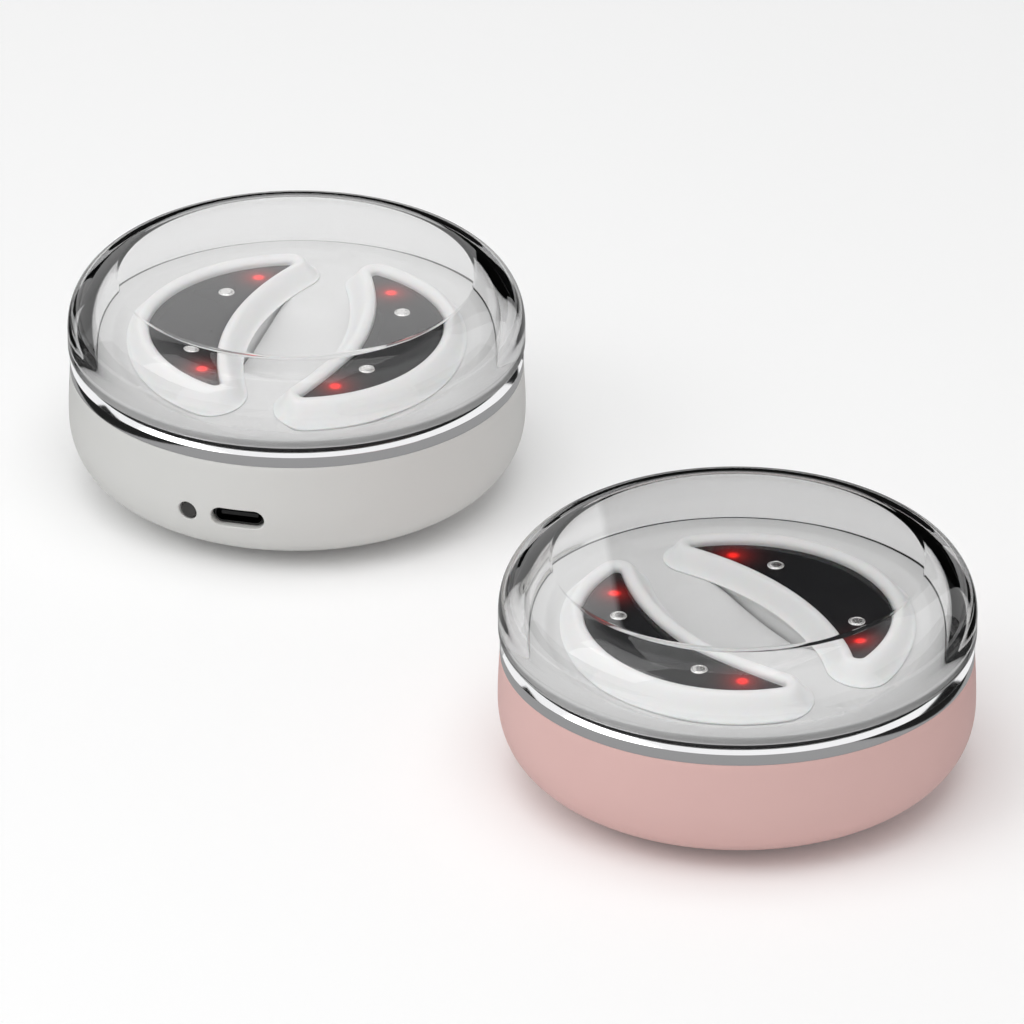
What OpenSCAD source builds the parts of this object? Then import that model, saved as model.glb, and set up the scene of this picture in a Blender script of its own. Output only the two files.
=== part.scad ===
// A pair of round charging cases, each with two red light eye pods under a clear lift-off lid.
// Each case is drawn about its own axis with its socket facing -Y, then turned and set in place.

/* [Layout] */
// Distance between the axes of the two cases
case_pitch = 130; // [100:1:160]
// Turn of the white case about its own axis
white_turn = 40; // [-180:1:180]
// Turn of the pink case about its own axis
pink_turn = -92; // [-180:1:180]

/* [Case shell] */
// Diameter of the shell at its seam with the metal ring
seam_d = 80; // [79.6:0.1:80.4]
// Diameter of the shell at its widest
belly_d = 80.7; // [80.5:0.1:81.5]
// Diameter of the flat underside
sole_d = 49; // [46:1:54]
// Height of the shell from its underside to the seam
shell_h = 21.4; // [21:0.1:23]
// Height of the widest place above the underside
belly_h = 13.1; // [12:0.1:14]
// Roundness of the lower corner, 2 is an ellipse
corner_power = 2.3; // [2:0.05:2.6]
// Thickness of the shell's wall
shell_wall = 1.8; // [1.5:0.1:2]
// Height that the foot ring stands proud
foot_h = 0.4; // [0.3:0.1:0.6]

/* [Ring, gasket and lid] */
// Height of the metal ring
ring_h = 2.9; // [2.5:0.1:3.2]
// Width of the bevel on the metal ring's upper edge
ring_bevel = 0.9; // [0.6:0.1:1]
// Height of the black gasket
gasket_h = 0.6; // [0.5:0.05:0.7]
// Diameter of the lid at its widest
lid_d = 80.6; // [80:0.1:81]
// Half width of the curve that forms the lid's shoulder
shoulder_w = 13; // [12:0.1:14]
// Height of the curve that forms the lid's shoulder
shoulder_h = 10.8; // [10.4:0.1:11.2]
// Fullness of the shoulder, 2 is an ellipse
shoulder_power = 2.3; // [2.1:0.05:2.5]
// Radius of the ridge where the shoulder meets the dome
ridge_r = 31.6; // [31:0.1:32.2]
// Slope of the dome at the ridge, degrees
dome_slope = 3.5; // [2:0.5:5]
// Thickness of the clear roof
roof = 1.8; // [1.4:0.1:2.2]

/* [Eye pods] */
// Radius of the window's outer edge
window_outer_r = 26.4; // [26:0.1:26.8]
// Radius of the window's inner edge
window_inner_r = 56.8; // [56:0.1:57.5]
// Distance from the case's axis to the centre of the inner edge
window_inner_x = 44.3; // [44:0.1:44.6]
// Radius of the window's two pointed ends
window_tip_r = 0.9; // [0.8:0.1:1.2]
// Width of the soft rim round the window
rim_w = 4.6; // [4.2:0.1:4.8]
// Thickness of an eye pod
pod_h = 8.4; // [8.2:0.1:8.8]
// Diameter of an electrode
electrode_d = 2.9; // [2.6:0.1:3.2]

/* [Socket and button] */
// Height of the socket's centre above the underside
port_h = 10.8; // [10:0.1:12]
// Width of the socket's slot in the shell
port_w = 9.6; // [9.4:0.1:10]
// Height of the slot
port_slot_h = 3.6; // [3.5:0.1:3.8]
// Angle from the socket to the button
button_angle = 13.3; // [12.5:0.1:15]
// Diameter of the button
button_d = 3; // [2.8:0.1:3.2]

/* [Hidden] */

$fn = 96;
white_body = [0.89, 0.89, 0.88];
pink_body = [0.86, 0.70, 0.68];
tray_white = [0.94, 0.94, 0.94];
gold = [0.85, 0.68, 0.35];
eps = 0.01;
big = 200;

// Heights above the table
seam_z = foot_h + shell_h;
belly_z = foot_h + belly_h;
lid_z = seam_z + ring_h + gasket_h;
tray_z = seam_z + 3.2;
rim_z = seam_z + 6.4;
window_z = seam_z + 5;
pod_z = rim_z - pod_h;
socket_h = 3.2;
board_t = 1.2;
board_z = foot_h + port_h - socket_h / 2 - board_t;

// Shell and ring
seam_r = seam_d / 2;
belly_r = belly_d / 2;
sole_r = sole_d / 2;
shelf_r = 32.6;
ring_bore_r = 37.3;
foot_in_r = 17;
foot_out_r = 21;
foot_depth = 0.6;
boss_r = 2.4;
boss_at = 22;
boss_root = 0.5;
boss_angles = [90, 210, 330];
fixed_gap = 0.02;

// Board, battery and screws
board_r = 33;
board_hole_r = 1;
board_tab = [14, 12];
board_tab_y = -36.5;
chip_sink = 0.2;
processor = [8, 8, 1.3];
processor_at = [-4, 2];
charger = [5, 4, 1.2];
charger_at = [8, -16];
driver = [3.5, 3.5, 1.1];
driver_at = [-14, -8];
cell = [32, 22];
cell_h = 4.8;
cell_y = 3;
cell_z = foot_h + 2.3;
screw_r = 0.8;
screw_tip_z = foot_h + 3.6;
screw_hole_z = foot_h + 3;
screw_head_r = 1.6;
screw_head_h = 1;

// Gasket and lid
gasket_r = seam_r - ring_bevel - 0.05;
gasket_bore_r = 37.15;
lid_r = lid_d / 2;
lid_foot_round = 1.2;
lid_bore_r = 37.1;
shoulder_z = seam_z + 7.2;
shoulder_x = lid_r - shoulder_w;
ridge_z = shoulder_z + shoulder_h * shoulder_rise((ridge_r - shoulder_x) / shoulder_w);
dome_r = ridge_r / sin(dome_slope);
dome_centre_z = ridge_z - dome_r * cos(dome_slope);
roof_r = dome_r - roof;
cavity_r = ridge_r - 0.4;
cavity_w = lid_bore_r - shoulder_x;
cavity_z = dome_centre_z + sqrt(roof_r * roof_r - cavity_r * cavity_r);
cavity_h = (cavity_z - shoulder_z) / shoulder_rise((cavity_r - shoulder_x) / cavity_w);

// Eye pods
tip_span = window_outer_r - window_tip_r;
tip_reach = window_inner_r + window_tip_r;
tip_x = (tip_span * tip_span - tip_reach * tip_reach + window_inner_x * window_inner_x) / (2 * window_inner_x);
tip_y = sqrt(tip_span * tip_span - tip_x * tip_x);
tip_angle = atan2(tip_y, tip_x);
inner_angle = atan2(tip_y, window_inner_x - tip_x);
pocket_gap = 0.25;
neck_d = rim_w - 0.65;
pocket_wall = 1.3;
pod_split_z = pod_z + 4;
window_t = 1;
glass_gap = 0.1;
ledge_w = 0.7;
ledge_t = 0.8;
crown_x = 1.4;
crown_in_h = 1.2;
flange_z = tray_z + 0.1;
flange_t = 0.3;
crown_out_h = rim_z - flange_z - flange_t;
back_d = neck_d - 0.35;
back_step = 0.6;
back_wall = 1.8;
back_lip = 1;
back_floor = 1;
pod_board_t = 0.4;
pod_cell = [9.6, 13];
pod_cell_h = 2.4;
pod_cell_x = -19.5;
electrode_at = [20, 36.5];
electrode_dome = 0.35;
stem_r = 0.72;
stem_hole_r = 0.75;
led_at = [22.5, 57.3];
led_body = [1.6, 1.6, 0.6];
led_lens_r = 0.6;
led_lens_h = 0.3;
pad_at = [20, 24];
pad_r = 1.2;
pad_t = 0.7;
stud_r = 0.8;
stud_step = 0.3;
stud_drop = 2.6;
stud_collar_r = 1.6;
stud_collar_h = 0.6;
stud_collar_drop = 1.8;
pocket_floor = 1.2;
magnet_r = 2.5;
magnet_t = 1.5;
magnet_at = 20;

// Finger bowl between the eye pods: a sphere cut into the tray
bowl_r = 29.1;
bowl_low_z = seam_z - 1.6;
bowl_z = bowl_low_z + bowl_r;
bowl_wall = 1.4;
bowl_reach = 17;
bowl_edge_r = 18;
tray_t = 1.6;
collar_r = 37;
collar_bore_r = 35;
collar_round = 0.3;
tray_rise_r = 31.2;
tray_rise_w = 2.9;
tray_rise_h = 1.35;
tray_blend = 1.2;

// Socket and button
port_z = foot_h + port_h;
port_back = 30;
mouth_flare = 0.35;
mouth_depth = 0.5;
socket_w = 8.94;
socket_face = 38.5;
socket_depth = 6.5;
socket_skin = 0.3;
socket_back = 0.8;
tongue = [6.6, 0.7];
tongue_step = 0.5;
button_z = port_z - 0.1;
button_r = button_d / 2;
button_gap = 0.25;
button_mouth_flare = 0.3;
button_mouth_depth = 0.4;
button_recess = 0.5;
button_flange_r = 2.1;
button_flange_t = 0.8;
button_flange_at = 36.7;
button_stem_r = 1;
switch_size = [4.4, 7, 3.8];
switch_sink = 0.4;
switch_face_r = 34.4;
switch_gap = 0.5;

// Points of the shell's side: a superellipse corner up to the belly, then a slight draw-in to the seam
function side_profile(sole, belly, seam, low_z, wide_z, top_z) = concat(
  [for (i = [0:18]) let (a = i * 5)
    [sole + (belly - sole) * pow(sin(a), 2 / corner_power),
     low_z + (wide_z - low_z) * (1 - pow(cos(a), 2 / corner_power))]],
  [for (i = [1:4]) let (a = i * 22.5)
    [seam + (belly - seam) * cos(a), wide_z + (top_z - wide_z) * i / 4]]
);

// Radius of the shell's outside at a height within the lower corner
function side_radius(z) = let (low = (belly_z - z) / (belly_z - foot_h))
  sole_r + (belly_r - sole_r) * pow(1 - pow(low, corner_power), 1 / corner_power);

// Height of the shoulder's superellipse, 0 to 1, at a distance across it of 1 to 0
function shoulder_rise(x) = pow(1 - pow(x, shoulder_power), 1 / shoulder_power);

// Points of a shoulder of width w and height h, from its upright foot to the radius where it meets the roof
function shoulder(w, h, end_r) =
  let (last = acos(pow((end_r - shoulder_x) / w, shoulder_power / 2)))
    [for (i = [0:14]) let (a = last * i / 14)
      [shoulder_x + w * pow(cos(a), 2 / shoulder_power), shoulder_z + h * pow(sin(a), 2 / shoulder_power)]];

// Points of the lid's outside, from its foot up the shoulder to the ridge and over the dome
function lid_outside() = concat(
  [for (i = [0:6]) let (a = -90 + i * 15)
    [lid_r - lid_foot_round * (1 - cos(a)), lid_z + lid_foot_round * (1 + sin(a))]],
  shoulder(shoulder_w, shoulder_h, ridge_r),
  [for (i = [1:6]) let (a = dome_slope * (1 - i / 6)) [dome_r * sin(a), dome_centre_z + dome_r * cos(a)]]
);

// Points of the lid's cavity, from its axis along the roof to the corner, then down inside the shoulder
function lid_inside() =
  let (edge = asin(cavity_r / roof_r), wall = shoulder(cavity_w, cavity_h, cavity_r)) concat(
    [for (i = [0:5]) let (a = edge * i / 6) [roof_r * sin(a), dome_centre_z + roof_r * cos(a)]],
    [for (i = [14:-1:0]) wall[i]],
    [[lid_bore_r, lid_z]]
  );

module ring(outer_r, inner_r, h) {
  difference() {
    cylinder(r = outer_r, h = h);
    translate([0, 0, -eps]) cylinder(r = inner_r, h = h + 2 * eps);
  }
}

module stadium(w, h) {
  square([w - h, h], center = true);
  for (side = [-1, 1]) translate([side * (w - h) / 2, 0]) circle(d = h, $fn = 48);
}

// Lays a flat drawing upright facing -Y and runs it from depth y0 back to y1
module face_front(y0, y1) {
  translate([0, y1, 0]) rotate([90, 0, 0]) linear_extrude(y1 - y0) children();
}

// Outline of the crescent window grown outwards by d: two arcs joined by two round ends
module crescent(d) {
  intersection() {
    difference() {
      circle(r = window_outer_r + d, $fn = 180);
      translate([window_inner_x, 0]) circle(r = window_inner_r - d, $fn = 360);
    }
    polygon([
      [window_inner_x, 0], [tip_x, tip_y], 2 * [tip_x, tip_y], [-60, 60],
      [-60, -60], 2 * [tip_x, -tip_y], [tip_x, -tip_y]
    ]);
  }
  for (side = [-1, 1]) translate([tip_x, side * tip_y]) circle(r = window_tip_r + d, $fn = 64);
}

// Stations round the crescent's outline, each a point and its outward direction: two arcs and two round ends
function crescent_stations() = concat(
  [for (i = [0:21]) let (a = tip_angle + (360 - 2 * tip_angle) * i / 22)
    [window_outer_r * [cos(a), sin(a)], [cos(a), sin(a)]]],
  [for (i = [0:7]) let (a = -tip_angle + (tip_angle + inner_angle) * i / 8)
    [[tip_x, -tip_y] + window_tip_r * [cos(a), sin(a)], [cos(a), sin(a)]]],
  [for (i = [0:9]) let (a = 180 + inner_angle - 2 * inner_angle * i / 10)
    [[window_inner_x, 0] + window_inner_r * [cos(a), sin(a)], -[cos(a), sin(a)]]],
  [for (i = [0:7]) let (a = -inner_angle + (tip_angle + inner_angle) * i / 8)
    [[tip_x, tip_y] + window_tip_r * [cos(a), sin(a)], [cos(a), sin(a)]]]
);

// Carries a profile round the crescent: its x is the distance outside the window's outline, its y is height
module sweep_crescent(profile) {
  stations = crescent_stations();
  n = len(stations);
  m = len(profile);
  polyhedron(
    points = [for (s = stations, p = profile) [each s[0] + s[1] * p[0], p[1]]],
    faces = [for (i = [0:n - 1], j = [0:m - 1]) let (k = (i + 1) % n, l = (j + 1) % m)
      [i * m + j, i * m + l, k * m + l, k * m + j]],
    convexity = 6
  );
}

// Copies a piece to the two mirrored places of a polar position on the left eye pod
module at_both(place) {
  for (side = [-1, 1]) rotate([0, 0, 180 + side * place[1]]) translate([place[0], 0, 0]) children();
}

// The shell is one moulding with the shelf that carries the ring and the tray, and the board's bosses
module base_shell(body_colour) {
  color(body_colour) difference() {
    union() {
      difference() {
        rotate_extrude($fn = 180) polygon(concat(
          [[0, foot_h]], side_profile(sole_r, belly_r, seam_r, foot_h, belly_z, seam_z), [[0, seam_z]]));
        rotate_extrude($fn = 180) polygon(concat(
          [[0, foot_h + shell_wall]],
          side_profile(sole_r - 1, belly_r - shell_wall, seam_r - shell_wall, foot_h + shell_wall, belly_z,
            seam_z - shell_wall),
          [[0, seam_z - shell_wall]]));
        translate([0, 0, belly_z]) cylinder(r = shelf_r, h = big);
      }
      for (a = boss_angles) rotate([0, 0, a]) translate([boss_at, 0, foot_h + shell_wall - boss_root])
        cylinder(r = boss_r, h = board_z - foot_h - shell_wall + boss_root, $fn = 48);
    }
    for (a = boss_angles) rotate([0, 0, a]) translate([boss_at, 0, screw_hole_z])
      cylinder(r = screw_r, h = big, $fn = 32);
    translate([0, 0, -eps]) ring(foot_out_r, foot_in_r, foot_h + foot_depth + eps);
    translate([0, 0, port_z]) face_front(-belly_r - 1, -port_back) stadium(port_w, port_slot_h);
    translate([0, 0, port_z]) face_front(-belly_r - 1, -side_radius(port_z) + mouth_depth)
      stadium(port_w + 2 * mouth_flare, port_slot_h + 2 * mouth_flare);
    rotate([0, 0, -button_angle]) translate([0, 0, button_z]) rotate([90, 0, 0]) {
      translate([0, 0, port_back]) cylinder(r = button_r + button_gap, h = 20, $fn = 48);
      translate([0, 0, side_radius(button_z) - button_mouth_depth])
        cylinder(r = button_r + button_gap + button_mouth_flare, h = 5, $fn = 48);
    }
  }
}

module foot_ring() {
  color([0.25, 0.25, 0.26]) ring(foot_out_r, foot_in_r, foot_h + foot_depth);
}

module chrome_ring() {
  color([0.82, 0.82, 0.84]) rotate_extrude($fn = 180) polygon([
    [ring_bore_r, seam_z], [seam_r, seam_z], [seam_r, seam_z + ring_h - ring_bevel],
    [seam_r - ring_bevel, seam_z + ring_h], [ring_bore_r, seam_z + ring_h]
  ]);
}

module gasket() {
  color([0.05, 0.05, 0.05]) translate([0, 0, seam_z + ring_h]) ring(gasket_r, gasket_bore_r, gasket_h);
}

module lid() {
  color([0.86, 0.90, 0.92, 0.35]) rotate_extrude($fn = 180)
    polygon(concat(lid_outside(), lid_inside()));
}

// Height of the tray's top: a plate that rises to its rim, run softly into the finger bowl's sphere
function tray_plate(r) =
  let (t = max(0, min(1, (r - tray_rise_r) / tray_rise_w))) tray_z + tray_rise_h * t * t * (3 - 2 * t);
function tray_bowl(r) = r < bowl_r * 0.8 ? bowl_z - sqrt(bowl_r * bowl_r - r * r) : seam_z + shell_h;
function tray_top(r) =
  let (a = tray_plate(r), b = tray_bowl(r), h = max(0, min(1, 0.5 + 0.5 * (b - a) / tray_blend)))
    b * (1 - h) + a * h - tray_blend * h * (1 - h);

// The tray is one moulding: two pockets that hold the eye pods, the bowl between them, and a rim that rises to the
// collar on which the ring, the gasket and the lid are centred
module tray() {
  color(tray_white) difference() {
    union() {
      translate([0, 0, tray_z - tray_t]) cylinder(r = collar_r, h = tray_t, $fn = 180);
      translate([0, 0, seam_z]) ring(collar_r, collar_bore_r, tray_z - seam_z);
      rotate_extrude($fn = 180) polygon(concat(
        [[tray_rise_r - 1, tray_z - 0.1], [collar_r, tray_z - 0.1], [collar_r, tray_top(collar_r) - collar_round],
         [collar_r - collar_round, tray_top(collar_r)]],
        [for (i = [8:-1:0]) let (r = tray_rise_r + tray_rise_w * i / 8) [r, tray_top(r)]],
        [[tray_rise_r - 1, tray_z]]));
      translate([0, 0, pod_z - pocket_floor]) linear_extrude(tray_z - pod_z)
        both_crescents(neck_d + pocket_gap + pocket_wall);
      intersection() {
        translate([0, 0, pod_z - 2]) cylinder(r = bowl_reach, h = tray_z - pod_z + 2);
        translate([0, 0, bowl_z]) sphere(r = bowl_r + bowl_wall, $fn = 180);
      }
    }
    translate([0, 0, pod_z]) linear_extrude(big) both_crescents(neck_d + pocket_gap);
    rotate_extrude($fn = 180) polygon(concat(
      [for (i = [0:24]) let (r = (bowl_edge_r + 2) * i / 24) [r, tray_top(r)]],
      [[bowl_edge_r + 2, tray_z + 20], [0, tray_z + 20]]));
    for (turn = [0, 180]) rotate([0, 0, turn]) at_both(pad_at)
      translate([0, 0, pod_z - 3]) cylinder(r = stud_r, h = 6, $fn = 32);
  }
}

module both_crescents(d) {
  for (turn = [0, 180]) rotate(turn) crescent(d);
}

// Circuit board with its processor, charger chip and the switch behind the side button
module main_board() {
  color([0.10, 0.32, 0.20]) difference() {
    union() {
      translate([0, 0, board_z]) cylinder(r = board_r, h = board_t);
      translate([-board_tab[0] / 2, board_tab_y, board_z]) cube([each board_tab, board_t]);
    }
    for (a = boss_angles) rotate([0, 0, a]) translate([boss_at, 0, board_z - 1])
      cylinder(r = board_hole_r, h = board_t + 2, $fn = 32);
  }
  color([0.12, 0.12, 0.13]) {
    translate([each processor_at, board_z + board_t - chip_sink]) cube(processor);
    translate([each charger_at, board_z + board_t - chip_sink]) cube(charger);
    translate([each driver_at, board_z + board_t - chip_sink]) cube(driver);
    rotate([0, 0, -button_angle])
      translate([-switch_size[0] / 2, -switch_face_r, board_z + board_t - switch_sink]) cube(switch_size);
  }
}

module battery() {
  color([0.62, 0.64, 0.68]) translate([0, cell_y, cell_z]) linear_extrude(cell_h) square(cell, center = true);
}

// Metal socket shell with its tongue, open to the front
module usb_socket() {
  color([0.70, 0.70, 0.72]) translate([0, 0, port_z]) {
    difference() {
      face_front(-socket_face, socket_depth - socket_face) stadium(socket_w, socket_h);
      face_front(-belly_r, socket_depth - socket_face - socket_back)
        stadium(socket_w - 2 * socket_skin, socket_h - 2 * socket_skin);
    }
    translate([-tongue[0] / 2, tongue_step - socket_face, -tongue[1] / 2])
      cube([tongue[0], socket_depth - 2 * tongue_step, tongue[1]]);
  }
}

// Round push button: a cap in the shell's hole and a flange behind the wall that keeps it in
module side_button() {
  color([0.12, 0.12, 0.12]) rotate([0, 0, -button_angle]) translate([0, 0, button_z]) rotate([90, 0, 0]) {
    translate([0, 0, button_flange_at])
      cylinder(r = button_r, h = side_radius(button_z) - button_flange_at - button_recess, $fn = 48);
    translate([0, 0, button_flange_at]) cylinder(r = button_flange_r, h = button_flange_t, $fn = 48);
    translate([0, 0, switch_face_r + switch_gap])
      cylinder(r = button_stem_r, h = button_flange_at - switch_face_r, $fn = 32);
  }
}

module board_screws() {
  color([0.55, 0.55, 0.57]) for (a = boss_angles) rotate([0, 0, a]) translate([boss_at, 0, 0]) {
    translate([0, 0, screw_tip_z])
      cylinder(r = screw_r - fixed_gap, h = board_z + board_t - screw_tip_z, $fn = 32);
    translate([0, 0, board_z + board_t]) cylinder(r = screw_head_r, h = screw_head_h, $fn = 32);
  }
}

// Fixed charge studs that stand through the pocket floors
module charge_studs() {
  color(gold) for (turn = [0, 180]) rotate([0, 0, turn]) at_both(pad_at) {
    translate([0, 0, pod_z - stud_drop])
      cylinder(r = stud_r - fixed_gap, h = stud_drop + stud_step, $fn = 32);
    translate([0, 0, pod_z - stud_collar_drop]) cylinder(r = stud_collar_r, h = stud_collar_h, $fn = 32);
  }
}

module tray_magnets() {
  color([0.60, 0.60, 0.63]) for (turn = [0, 180]) rotate([0, 0, turn + 180])
    translate([magnet_at, 0, pod_z - pocket_floor - magnet_t]) cylinder(r = magnet_r, h = magnet_t, $fn = 48);
}

// Section of the soft rim: a ledge for the window, a tight inner edge, a long soft outer slope that runs out
// to a thin flange just above the tray, and a neck that drops into the pocket
function cushion_profile() = concat(
  [[-ledge_w, window_z - window_t - ledge_t], [-ledge_w, window_z - window_t], [0, window_z - window_t]],
  [for (i = [0:3]) let (a = i * 30) [crown_x * (1 - cos(a)), rim_z - crown_in_h * (1 - sin(a))]],
  [for (i = [1:7]) let (s = i / 7)
    [crown_x + (rim_w - crown_x) * s, rim_z - crown_out_h * (1 - cos(180 * s)) / 2]],
  [[rim_w, flange_z], [neck_d, flange_z], [neck_d, pod_split_z], [0, pod_split_z]]
);

// Soft rim that lies on the skin
module pod_cushion() {
  color([0.95, 0.95, 0.95]) sweep_crescent(cushion_profile());
}

// Hard back: a crescent tub with a stepped sole and a step inside for the board
module pod_back() {
  color([0.92, 0.92, 0.92]) difference() {
    union() {
      translate([0, 0, pod_z]) linear_extrude(back_step) crescent(back_d - back_step);
      translate([0, 0, pod_z + back_step]) linear_extrude(pod_split_z - pod_z - back_step) crescent(back_d);
    }
    translate([0, 0, pod_z + back_floor]) linear_extrude(big) crescent(back_d - back_wall);
    translate([0, 0, pod_split_z - pod_board_t]) linear_extrude(big) crescent(back_d - back_lip);
    at_both(pad_at) translate([0, 0, pod_z - 1]) cylinder(r = pad_r + fixed_gap, h = 3, $fn = 32);
  }
}

// Smoked window that covers the lights, with a hole for each electrode's stem
module pod_window() {
  color([0.05, 0.05, 0.05]) difference() {
    translate([0, 0, window_z - window_t]) linear_extrude(window_t) crescent(-glass_gap);
    at_both(electrode_at) translate([0, 0, window_z - 2]) cylinder(r = stem_hole_r, h = 4, $fn = 32);
  }
}

module pod_leds() {
  color([0.90, 0.15, 0.12]) at_both(led_at) {
    translate([-led_body[0] / 2, -led_body[1] / 2, pod_split_z]) cube(led_body);
    translate([0, 0, pod_split_z + led_body[2]]) cylinder(r = led_lens_r, h = led_lens_h, $fn = 32);
  }
}

// Domed skin electrodes, each on a stem that reaches the board
module pod_electrodes() {
  electrode_r = electrode_d / 2;
  sphere_r = (electrode_r * electrode_r + electrode_dome * electrode_dome) / (2 * electrode_dome);
  color([0.93, 0.92, 0.90]) at_both(electrode_at) {
    translate([0, 0, pod_split_z]) cylinder(r = stem_r, h = window_z - pod_split_z + 0.1, $fn = 32);
    intersection() {
      translate([0, 0, window_z + electrode_dome - sphere_r]) sphere(r = sphere_r, $fn = 64);
      translate([0, 0, window_z]) cylinder(r = electrode_r, h = 1, $fn = 48);
    }
  }
}

module pod_board() {
  color([0.10, 0.32, 0.20]) translate([0, 0, pod_split_z - pod_board_t]) linear_extrude(pod_board_t)
    crescent(back_d - back_lip - glass_gap);
}

module pod_battery() {
  color([0.62, 0.64, 0.68]) translate([pod_cell_x, 0, pod_z + back_floor]) linear_extrude(pod_cell_h)
    square(pod_cell, center = true);
}

// Plated steel pads, set back in the underside, that meet the charge studs
module pod_pads() {
  color(gold) at_both(pad_at) translate([0, 0, pod_z + stud_step]) cylinder(r = pad_r, h = pad_t, $fn = 32);
}

module white_case() {
  translate([-case_pitch / 2, 0, 0]) rotate([0, 0, white_turn]) children();
}

module pink_case() {
  translate([case_pitch / 2, 0, 0]) rotate([0, 0, pink_turn]) children();
}

module right() {
  rotate([0, 0, 180]) children();
}

white_case() base_shell(white_body);  // white_base_shell
white_case() foot_ring();  // white_foot_ring
white_case() chrome_ring();  // white_chrome_ring
white_case() gasket();  // white_gasket
white_case() lid();  // white_lid
white_case() tray();  // white_tray
white_case() main_board();  // white_main_board
white_case() battery();  // white_battery
white_case() usb_socket();  // white_usb_socket
white_case() side_button();  // white_side_button
white_case() board_screws();  // white_board_screws
white_case() charge_studs();  // white_charge_studs
white_case() tray_magnets();  // white_tray_magnets
white_case() pod_cushion();  // white_left_pod_cushion
white_case() pod_back();  // white_left_pod_back
white_case() pod_window();  // white_left_pod_window
white_case() pod_leds();  // white_left_pod_leds
white_case() pod_electrodes();  // white_left_pod_electrodes
white_case() pod_board();  // white_left_pod_board
white_case() pod_battery();  // white_left_pod_battery
white_case() pod_pads();  // white_left_pod_pads
white_case() right() pod_cushion();  // white_right_pod_cushion
white_case() right() pod_back();  // white_right_pod_back
white_case() right() pod_window();  // white_right_pod_window
white_case() right() pod_leds();  // white_right_pod_leds
white_case() right() pod_electrodes();  // white_right_pod_electrodes
white_case() right() pod_board();  // white_right_pod_board
white_case() right() pod_battery();  // white_right_pod_battery
white_case() right() pod_pads();  // white_right_pod_pads
pink_case() base_shell(pink_body);  // pink_base_shell
pink_case() foot_ring();  // pink_foot_ring
pink_case() chrome_ring();  // pink_chrome_ring
pink_case() gasket();  // pink_gasket
pink_case() lid();  // pink_lid
pink_case() tray();  // pink_tray
pink_case() main_board();  // pink_main_board
pink_case() battery();  // pink_battery
pink_case() usb_socket();  // pink_usb_socket
pink_case() side_button();  // pink_side_button
pink_case() board_screws();  // pink_board_screws
pink_case() charge_studs();  // pink_charge_studs
pink_case() tray_magnets();  // pink_tray_magnets
pink_case() pod_cushion();  // pink_left_pod_cushion
pink_case() pod_back();  // pink_left_pod_back
pink_case() pod_window();  // pink_left_pod_window
pink_case() pod_leds();  // pink_left_pod_leds
pink_case() pod_electrodes();  // pink_left_pod_electrodes
pink_case() pod_board();  // pink_left_pod_board
pink_case() pod_battery();  // pink_left_pod_battery
pink_case() pod_pads();  // pink_left_pod_pads
pink_case() right() pod_cushion();  // pink_right_pod_cushion
pink_case() right() pod_back();  // pink_right_pod_back
pink_case() right() pod_window();  // pink_right_pod_window
pink_case() right() pod_leds();  // pink_right_pod_leds
pink_case() right() pod_electrodes();  // pink_right_pod_electrodes
pink_case() right() pod_board();  // pink_right_pod_board
pink_case() right() pod_battery();  // pink_right_pod_battery
pink_case() right() pod_pads();  // pink_right_pod_pads
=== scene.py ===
"""Two round charging cases with crescent red light eye pods under clear lids, dressed on the frame."""
import math

import bmesh
import bpy
import mathutils
import numpy as np
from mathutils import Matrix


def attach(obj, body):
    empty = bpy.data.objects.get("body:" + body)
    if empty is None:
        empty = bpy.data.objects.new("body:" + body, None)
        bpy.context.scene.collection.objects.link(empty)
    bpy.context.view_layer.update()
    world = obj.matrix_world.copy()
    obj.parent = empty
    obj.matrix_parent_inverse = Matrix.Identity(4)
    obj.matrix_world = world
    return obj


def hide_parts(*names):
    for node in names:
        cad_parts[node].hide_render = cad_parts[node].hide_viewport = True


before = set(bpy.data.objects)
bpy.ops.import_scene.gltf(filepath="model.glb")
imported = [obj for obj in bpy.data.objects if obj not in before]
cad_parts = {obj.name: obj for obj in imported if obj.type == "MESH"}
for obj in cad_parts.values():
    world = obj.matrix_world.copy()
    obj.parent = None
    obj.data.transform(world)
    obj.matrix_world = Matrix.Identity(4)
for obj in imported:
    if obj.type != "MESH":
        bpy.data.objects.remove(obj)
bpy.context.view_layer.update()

# All sizes are in millimetres and angles in degrees, as in the part's source.
MM = 0.001
WELD = 2e-6  # metres
CASES = {"white": (-65.0, 40.0), "pink": (65.0, -92.0)}
SIDES = {"left": 0.0, "right": 180.0}

# Heights
SOLE_Z = 0.4
BELLY_Z = 13.5
SEAM_Z = 21.8
RING_TOP_Z = 24.7
LID_Z = 25.3
TRAY_Z = 25.0
RIM_Z = 28.2
WINDOW_Z = 26.8
POD_Z = 19.8
SPLIT_Z = 23.8
SHOULDER_Z = 29.0
PORT_Z = 11.2
BUTTON_Z = 11.1

# Shell
BELLY_R = 40.35
SEAM_R = 40.0
SOLE_R = 24.5
SHELL_WALL = 1.8
CORNER_POWER = 2.3
SHELF_R = 32.6
FOOT_IN_R = 17.0
FOOT_OUT_R = 21.0
FOOT_DEPTH_Z = 1.0
PORT_HALF_W = 4.8
PORT_HALF_H = 1.8
BUTTON_ANGLE = 13.3
BUTTON_HOLE_R = 1.75
BUTTON_R = 1.5
LIP = 0.3
RING_BORE_R = 37.3
RING_BEVEL = 0.9

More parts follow.
